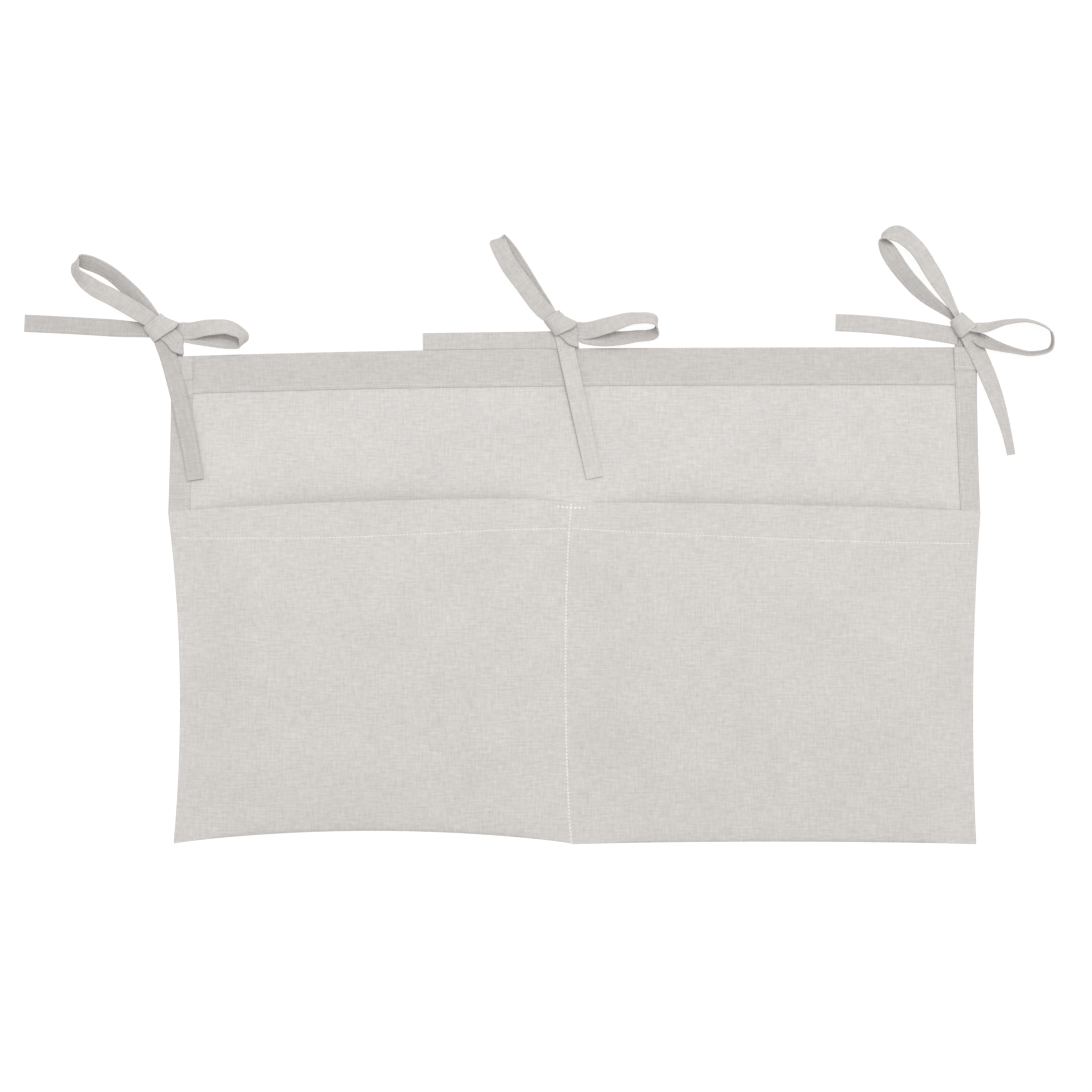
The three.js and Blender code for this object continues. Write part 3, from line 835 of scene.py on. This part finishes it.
# %% Right tie
right_tie = dict(
    name="right", x=292.0, knot=(-3.6, 16.6), tail_lies_on="floor", upper_root=(0.5, 40.0),
    wrap=dict(angle=38.0, half=6.6, width=15.0, leans=(8.0, -11.0)),
    upper=[
        (-1.4, 2.7, 6.2, -46, 122), (-11.2, 19.9, 8.0, -28, 118), (-23.0, 39.1, 10.6, -16, 124),
        (-37.1, 58.9, 12.3, -15, 137), (-49.1, 67.3, 9.7, -8, 150), (-60.3, 64.1, 7.6, -60, 146),
        (-54.9, 55.1, 5.8, -13, 110), (-45.3, 40.8, 5.4, 24, 115), (-27.4, 21.4, 5.2, 34, 130),
        (-5.0, 5.0, 4.4, 34, 132),
    ],
    right=[
        (2.9, -1.9, 6.2, 46, -8), (16.1, -2.3, 7.4, 54, -8), (32.4, 1.7, 8.0, 72, -8),
        (51.6, 2.2, 8.2, 78, -8), (66.5, -6.5, 8.2, 78, -8), (65.8, -17.6, 8.0, 78, -8),
        (53.2, -21.6, 7.6, 74, -8), (37.0, -19.0, 7.0, 66, -8), (22.4, -14.6, 4.8, 46, -10),
        (6.3, -7.6, 2.8, 20, -12),
    ],
    left_tail=dict(start=(-7.6, -8.0), end=(-93.5, 1.9), bow=-1.9, gather=1.0, finish=tape_linen),
    tail=dict(
        root=(0.0, 0.0, 5.4), gather=0.85, foot=(6.0, 0.0), end=(33.0, -80.2), bow=3.3, end_roll=-56,
        finish=tape_linen,
    ),
    front_strap=1.0,
    back_strap=-2.0,
)
ties = [left_tie, middle_tie, right_tie]
print("ties:", [tie["name"] for tie in ties])

# %% [markdown]
# ## A line for a tape to follow
# A curve drawn by hand would do for one bow, but its twist is hard to steer. So a line is an array of
# stations at even steps: place, the way of the width, and the gathering. A loop's line is a smooth curve
# through its few stations. Everything else is a straight run, bowed or rolled a little, and the band of
# the knot is a flattened ring.

# %% Stations of a line
usual_step = 1.3


def unit(vectors):
    return vectors / np.maximum(np.linalg.norm(vectors, axis=-1, keepdims=True), 1e-9)


def lengthwise(stations, closed=False):
    centres = stations[:, :3]
    if closed:
        return unit(np.roll(centres, -1, axis=0) - np.roll(centres, 1, axis=0))
    return unit(np.gradient(centres, axis=0))


def crosswise(stations, closed=False):
    along = lengthwise(stations, closed)
    across = stations[:, 3:6]
    return unit(across - along * np.sum(across * along, axis=1, keepdims=True))


def distance_run(stations):
    steps = np.linalg.norm(np.diff(stations[:, :3], axis=0), axis=1)
    return np.concatenate([[0], np.cumsum(steps)])


def evened(stations, step=usual_step):
    """The same line with its stations at even steps. A station is x, y, z, the width's way, gathering."""
    run = distance_run(stations)
    even = np.linspace(0, run[-1], max(5, int(run[-1] / step)))
    return np.stack([np.interp(even, run, column) for column in stations.T], 1)


straight = np.zeros((2, 7))
straight[1, 0] = 20.0
print("stations on a straight 20 mm:", len(evened(straight)))

# %% Line of a loop
through_steps = 120


def through(stations):
    """A smooth line through a few stations."""
    stations = np.array(stations, float)
    run = distance_run(stations)
    slope = np.gradient(stations, run, axis=0)
    at = np.linspace(0, run[-1], through_steps)
    i = np.clip(np.searchsorted(run, at, side="right") - 1, 0, len(stations) - 2)
    gap = (run[i + 1] - run[i])[:, None]
    t = (at - run[i])[:, None] / gap
    near = (2 * t**3 - 3 * t**2 + 1) * stations[i] + (t**3 - 2 * t**2 + t) * gap * slope[i]
    far = (3 * t**2 - 2 * t**3) * stations[i + 1] + (t**3 - t**2) * gap * slope[i + 1]
    return near + far


def loop_line(knot, loop, root_gather=1.0, root_length=1.0, step=usual_step):
    """Through a loop's stations, with the width turned by lean and heading, gathered at both roots."""
    stations = through(loop)
    lean, heading = np.radians(stations[:, 3:4]), np.radians(stations[:, 4:5])
    across = np.cos(lean) * np.concatenate([-np.sin(heading), np.cos(heading), 0 * lean], 1)
    across[:, 2:] = -np.sin(lean)
    run = distance_run(stations)
    gather = mix(root_gather, 1, smooth(np.minimum(run, run[-1] - run) / root_length))[:, None]
    return evened(np.concatenate([stations[:, :3] + [*knot, 0], across, gather], 1), step)


first_loop = loop_line((0.0, 0.0), left_tie["upper"])
print("length of the left tie's upper loop, mm:", round(distance_run(first_loop)[-1], 1))

# %% Straight runs
run_steps, usual_ease = 60, 0.35


def run_line(start, end, bow=0.0, end_roll=0.0, level=0.0, settle=1.0, gather=(1.0, 1.0, usual_ease)):
    """A flat run between two points, bowed aside. It keeps its first height for the share level, and
    has settled to its last height at the share settle. gather is from, to, and by which share."""
    start, end = np.array(start, float), np.array(end, float)
    t = np.linspace(0, 1, run_steps)
    along = unit((end - start) * [1, 1, 0])
    aside = np.array([-along[1], along[0], 0])
    centres = start + t[:, None] * (end - start) + (4 * bow * t * (1 - t))[:, None] * aside
    centres[:, 2] = mix(start[2], end[2], smooth((t - level) / (settle - level)))
    tilt = (math.radians(end_roll) * smooth(t))[:, None]
    across = aside * np.cos(tilt) + np.array([0, 0, 1]) * np.sin(tilt)
    narrowing = mix(gather[0], gather[1], smooth(t / gather[2]))[:, None]
    return evened(np.concatenate([centres, across, narrowing], 1))


def softened(stations, passes=12):
    """Rounds the bend where two runs meet, with both ends held."""
    line = stations.copy()
    for _ in range(passes):
        line[1:-1] = (line[:-2] + 2 * line[1:-1] + line[2:]) / 4
    return line


bowed = run_line((0, 0, 0), (100, 0, 0), bow=5.0)
print("a run of 100 mm that is bowed 5 mm measures, mm:", round(distance_run(bowed)[-1], 1))

# %% Ring round the knot
ring_steps = 64
knot_middle, knot_half_height = 4.9, 4.3
ring_flatness, ring_height = 0.85, 0.75
under_knot_gather = 0.75


def wrap_line(centre, wrap):
    """The band round the knot: a flattened ring that stands across the loops, its two ends leaning."""
    turn = np.linspace(2 * math.pi, 0, ring_steps, endpoint=False)
    heading = math.radians(wrap["angle"])
    along = np.array([math.cos(heading), math.sin(heading), 0])
    aside = np.array([-along[1], along[0], 0])
    flat = np.sign(np.cos(turn)) * np.abs(np.cos(turn)) ** ring_flatness
    high = np.sign(np.sin(turn)) * np.abs(np.sin(turn)) ** ring_height
    centres = np.array([*centre, knot_middle]) + flat[:, None] * wrap["half"] * along
    centres[:, 2] += knot_half_height * high
    lean = np.radians(mix(*wrap["leans"], (1 + np.cos(turn)) / 2))[:, None]
    across = aside * np.cos(lean) + along * np.sin(lean)
    on_top = smooth((np.sin(turn) + 0.2) / 0.8)
    gather = wrap["width"] / tape_width * mix(under_knot_gather, 1.0, on_top)
    return np.concatenate([centres, across, gather[:, None] / np.cos(lean)], 1)


print("widths of the turns round the knots, mm:", [tie["wrap"]["width"] for tie in ties])

# %% Tape along a line
tape_thickness = 1.2
groove_share, thread_rise = 0.8, 0.02


def tape_piece(name, stations, run_from=0.0, thickness=tape_thickness, closed=False, finish=tape_linen):
    columns = [
        ("width_way", "FLOAT_VECTOR", crosswise(stations, closed)),
        ("gather", "FLOAT", stations[:, 6]),
        ("run", "FLOAT", (distance_run(stations) + run_from) * MM),
    ]
    line = line_of_points(name, [stations], closed=closed, attributes=columns)
    sizes = {"Section": section_line, "Width": tape_width * MM, "Thickness": thickness * MM}
    return grown(name, line, tape_nodes, {**sizes, "Finish": finish})


def tape_rows(stations, faces=(1, -1), thickness=tape_thickness, ends=2.0):
    """The two rows of edge stitches on a tape, on each of the faces asked for."""
    across = crosswise(stations)
    face = np.cross(lengthwise(stations), across)
    run, gather = distance_run(stations), stations[:, 6:7]
    kept = (run >= ends) & (run <= run[-1] - ends)
    rows = []
    for way in faces:
        for edge in (-stitch_place, stitch_place):
            points = stations[:, :3] + across * edge * gather * tape_width / 2
            points = points + face * way * (thickness * 0.5 * groove_share * gather + thread_rise)
            rows.append(np.concatenate([points, face * way], 1)[kept])
    return rows


print("stitched edges of a tape, mm from its middle:", round(stitch_place * tape_width / 2, 2))

# %% [markdown]
# ## Tying the bows
# A bow is two loops, a side tail and a hanging tail, squeezed together by one turn of tape. The turn is
# a closed ring of the same tape round the crossing, and short layers inside it fill its two mouths, so
# the knot looks tied from the side too. The two sewn straps run from inside the hem into the knot. The
# hanging tail is one line from the knot over the hem to its end, cut where the model's hinge is.

# %% Knot
layer_heights = (2.0, 3.3, 5.3, 6.6)
layer_half, layer_room, layer_fan, layer_gather = 5.5, 0.9, 8, 0.9


def build_knot(name, knot, wrap):
    """The turn of tape round the crossing, and the short layers that fill its mouths."""
    made = {"knot": tape_piece(name + "_knot", wrap_line(knot, wrap), closed=True)}
    heading = math.radians(wrap["angle"] + 90)
    for i, z in enumerate(layer_heights):
        fan = math.radians(layer_fan * (-1) ** i)
        way = np.array([math.cos(heading + fan), math.sin(heading + fan)])
        layer = run_line([*(knot - way * layer_half), z], [*(knot + way * layer_half), z])
        layer[:, 6] = min(layer_gather, (wrap["half"] - layer_room) * 2 / tape_width)
        made[f"layer_{i + 1}"] = tape_piece(f"{name}_layer_{i + 1}", layer, run_from=40.0 * i)
    return made


print("layers inside a knot:", len(layer_heights))

# %% Tails
floor_z, side_root_z, tail_root_z = 0.7, 2.6, 3.7
root_inside, side_settle, tail_clearance = 5, 0.22, 0.3


def side_tail_line(knot, shape):
    far = np.array([*(knot + shape["end"]), floor_z])
    near = np.array([*(knot + shape["start"]), side_root_z])
    near = near + unit(near - far) * root_inside
    gather = (shape["gather"], 1.0, usual_ease)
    return run_line(near, far, bow=shape["bow"], settle=side_settle, gather=gather)


def tail_end_z(tie):
    """The height of the hanging tail's end, which lies on a hem, on one cloth or beside the panel."""
    under = {"hem": hem_top, "cloth": cloth_top}.get(tie["tail_lies_on"])
    if under is None:
        return floor_z + tape_width / 2 * abs(math.sin(math.radians(tie["tail"]["end_roll"])))
    return under + tail_clearance + tape_thickness / 2


def hanging_tail_line(edge, knot, tie):
    shape = tie["tail"]
    root = np.array([*knot, 0.0]) + shape["root"]
    foot = np.array([*(edge + shape["foot"]), tail_root_z])
    end = np.array([*(edge + shape["end"]), tail_end_z(tie)])
    level = (top_hem_depth + tape_width / 2) / -shape["end"][1]
    first = run_line(root, foot, gather=(shape["gather"], 1.0, 1.0))
    second = run_line(foot, end, bow=shape["bow"], end_roll=shape["end_roll"], level=level)
    return softened(evened(np.concatenate([first, second[1:]])))


print("heights of the hanging tails' ends, mm:", [round(tail_end_z(tie), 2) for tie in ties])

# %% Straps
strap_inside, strap_over_edge, strap_rise, strap_aside = 8.0, 0.5, 2.2, 1.5
fold_step = 0.6


def strap_line(edge, knot, shape, z):
    """From inside the hem into the knot, through stations or straight at a distance aside."""
    if isinstance(shape, list):
        return loop_line(knot, shape, step=fold_step)
    inside = np.array([edge[0] + shape, edge[1] - strap_inside, z])
    at_edge = np.array([edge[0] + shape, edge[1] + strap_over_edge, z])
    top = np.array([*(knot + [strap_aside, 0.0]), z + strap_rise])
    rising = run_line(at_edge, top, gather=(1.0, 0.9, usual_ease))
    return softened(evened(np.concatenate([run_line(inside, at_edge), rising[1:]])), 6)


def cut_at(stations, y):
    """Splits a line that runs down the panel where it passes y; both parts get the station there."""
    after = int(np.argmax(stations[:, 1] < y))
    share = (stations[after - 1, 1] - y) / (stations[after - 1, 1] - stations[after, 1])
    here = mix(stations[after - 1], stations[after], share)[None]
    return np.concatenate([stations[:after], here]), np.concatenate([here, stations[after:]])


print("straps reach inside the hem by, mm:", strap_inside)

# %% Bows
hinge_gap = 0.45
loop_roots = {"upper": (0.8, 18.0), "right": (0.6, 11.0)}
loop_ends = 9.0
strap_z = {"front_strap": 1.15, "back_strap": 0.75}
strap_thickness, strap_run, stitches_above = 0.9, 60.0, 0.8


def build_tie(tie, number):
    name = tie["name"] + "_tie"
    edge = np.array([tie["x"], float(top_edge_y(tie["x"]))])
    knot = edge + tie["knot"]
    hinge = np.array([edge[0], edge[1] + hinge_gap, knot_middle])

    bow, rows = build_knot(name, knot, tie["wrap"]), []
    for part, usual_root in loop_roots.items():
        line = loop_line(knot, tie[part], *tie.get(part + "_root", usual_root))
        bow[part + "_loop"] = tape_piece(f"{name}_{part}_loop", line)
        rows += tape_rows(line, ends=loop_ends)
    line = side_tail_line(knot, tie["left_tail"])
    bow["left_tail"] = tape_piece(name + "_left_tail", line, finish=tie["left_tail"]["finish"])
    rows += tape_rows(line)
    bow["bow_stitches"] = stitched(name + "_bow_stitches", rows, seed=10 + number)

    upper, lower = cut_at(hanging_tail_line(edge, knot, tie), hinge[1])
    finish, run = tie["tail"]["finish"], distance_run(upper)[-1]
    roots = {"tail_root": tape_piece(name + "_tail_root", upper, finish=finish)}
    rows = tape_rows(upper, faces=(1,), ends=0.0)
    for part, z in strap_z.items():
        line = strap_line(edge, knot, tie[part], z)
        roots[part] = tape_piece(f"{name}_{part}", line, strap_run, strap_thickness)
        on_strap = tape_rows(line, thickness=strap_thickness)
        rows += [row[row[:, 1] > edge[1] + stitches_above] for row in on_strap]
    roots["root_stitches"] = stitched(name + "_root_stitches", rows, seed=20 + number)
    tail = {
        "down_tail": tape_piece(name + "_hanging_tail", lower, run, finish=finish),
        "tail_stitches": stitched(name + "_tail_stitches", tape_rows(lower), seed=30 + number),
    }
    parts = {**bow, **roots, **tail}
    return dict(name=tie["name"], hinge=hinge, bow=bow, roots=roots, tail=tail, parts=parts)


tied = [build_tie(tie, number) for number, tie in enumerate(ties)]
bpy.data.objects.remove(section_line)
print("pieces in each bow:", [len(one["parts"]) for one in tied])

# %% [markdown]
# ## How the pieces move
# Both cloths, the hems and their stitches ride on the panels. A bow's loops and knot ride on its own
# body. The straps, the tail's root and the hanging tail cross a hinge; they stay where they were built
# and ride on no body.

# %% Bodies
ring_reach, bend_up, bend_down = 1.9, 9.0, 12.0
panel_pieces = [back_piece, *hems, hem_stitches, pocket_piece, pocket_stitches]
for piece in panel_pieces:
    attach(piece, "panels")
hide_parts("back_panel")
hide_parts("pocket_panel")


def over(hinge, reach):
    return tuple((hinge + [0, reach, 0]) * MM)


named_parts = ("knot", "upper_loop", "right_loop", "left_tail", "front_strap", "back_strap", "down_tail")
for one in tied:
    name, hinge = one["name"], one["hinge"]
    for piece in one["bow"].values():
        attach(piece, name + "_bow")
    for piece in one["roots"].values():
        name + "_bow"
        over(hinge, ring_reach)
        over(hinge, bend_up)
        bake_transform(piece)
    for piece in one["tail"].values():
        name + "_hanging_tail"
        over(hinge, -ring_reach)
        over(hinge, -bend_down)
        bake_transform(piece)
    for part in named_parts:
        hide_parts(f"{name}_tie_{part}")

# %% [markdown]
# ## What was cut
# Each cloth and each length of tape is a sheet. The cloths were cut larger than they finish, by the
# hems. Tape is measured as it leaves the folder, in its finished width, and a length that goes round a
# loop is longer than the loop looks. The loop below goes through each tie's pieces but the stitches,
# and does nothing with them.


for one in tied:
    for part, piece in one["parts"].items():
        if "stitches" in part:
            continue
        part in named_parts

# %% [markdown]
# ## Floor, light and camera
# The floor is plain white. Part of what the camera sees of it is an even glow, which keeps it white to
# the edges, and the rest is lit like anything else, which keeps a faint shadow. An even sky gives most
# of the light, and one broad soft lamp, high up beyond the top edge and a little to the right, models
# the folds. Together they add up to a level at which a colour renders as it is written. The camera
# looks straight down.

# %% Floor
floor_half, floor_drop = 3.0, 0.05
floor_glow_share, floor_glow = 0.9, 1.05


def seen_directly(tree):
    path = Wire.node(tree, "ShaderNodeLightPath")
    seen = path.out("Is Camera Ray") + path.out("Is Glossy Ray") + path.out("Is Transmission Ray")
    return seen.math("MINIMUM", 1.0)


floor_mesh = bpy.data.meshes.new("floor")
corner_signs = [(-1, -1), (1, -1), (1, 1), (-1, 1)]
corners = [(x * floor_half, y * floor_half, -floor_drop * MM) for x, y in corner_signs]
floor_mesh.from_pydata(corners, [], [(0, 1, 2, 3)])
floor = in_scene("floor", floor_mesh)
floor_white = bpy.data.materials.new("floor_white")
floor_tree = emptied(floor_white)
lit = Wire.node(floor_tree, "ShaderNodeBsdfDiffuse", {}, {"Color": (0.9, 0.9, 0.9, 1.0)})
glow = Wire.node(floor_tree, "ShaderNodeEmission", {}, {"Color": (1, 1, 1, 1), "Strength": floor_glow})
share = seen_directly(floor_tree) * floor_glow_share
mixed = Wire.node(floor_tree, "ShaderNodeMixShader", {}, {0: share, 1: lit, 2: glow})
Wire.node(floor_tree, "ShaderNodeOutputMaterial", {}, {"Surface": mixed})
floor_mesh.materials.append(floor_white)
print("floor, m across:", 2 * floor_half)

# %% Light
sky_level, key_level = 0.58, 0.42
key_height, key_softness = 72.0, 34.0
key_from = 65.0

world = bpy.data.worlds.new("sky")
bpy.context.scene.world = world
sky_tree = emptied(world)
seen = seen_directly(sky_tree)
strength = seen * (1 - sky_level) + sky_level
sky = Wire.node(sky_tree, "ShaderNodeBackground", {}, {"Color": (1, 1, 1, 1), "Strength": strength})
Wire.node(sky_tree, "ShaderNodeOutputWorld", {}, {"Surface": sky})

key = bpy.data.lights.new("key", "SUN")
key.angle = math.radians(key_softness)
key.energy = key_level * math.pi / math.sin(math.radians(key_height))
key_lamp = in_scene("key", key)
key_lamp.rotation_euler = (0, math.radians(90 - key_height), math.radians(key_from))
print("shares of the light, sky and lamp:", sky_level, key_level)

# %% Camera
camera_distance, lens, sensor = 2.261, 100.0, 36.0
camera_x, camera_y = -20.9, 36.97
camera = in_scene("camera", bpy.data.cameras.new("camera"))
camera.data.lens = lens
camera.data.sensor_width = sensor
camera.data.clip_end = 20.0
camera.location = (camera_x * MM, camera_y * MM, camera_distance)
bpy.context.scene.camera = camera
bpy.context.scene.view_settings.view_transform = "Standard"
print("frame width at the floor, mm:", round(camera_distance * sensor / lens / MM, 1))
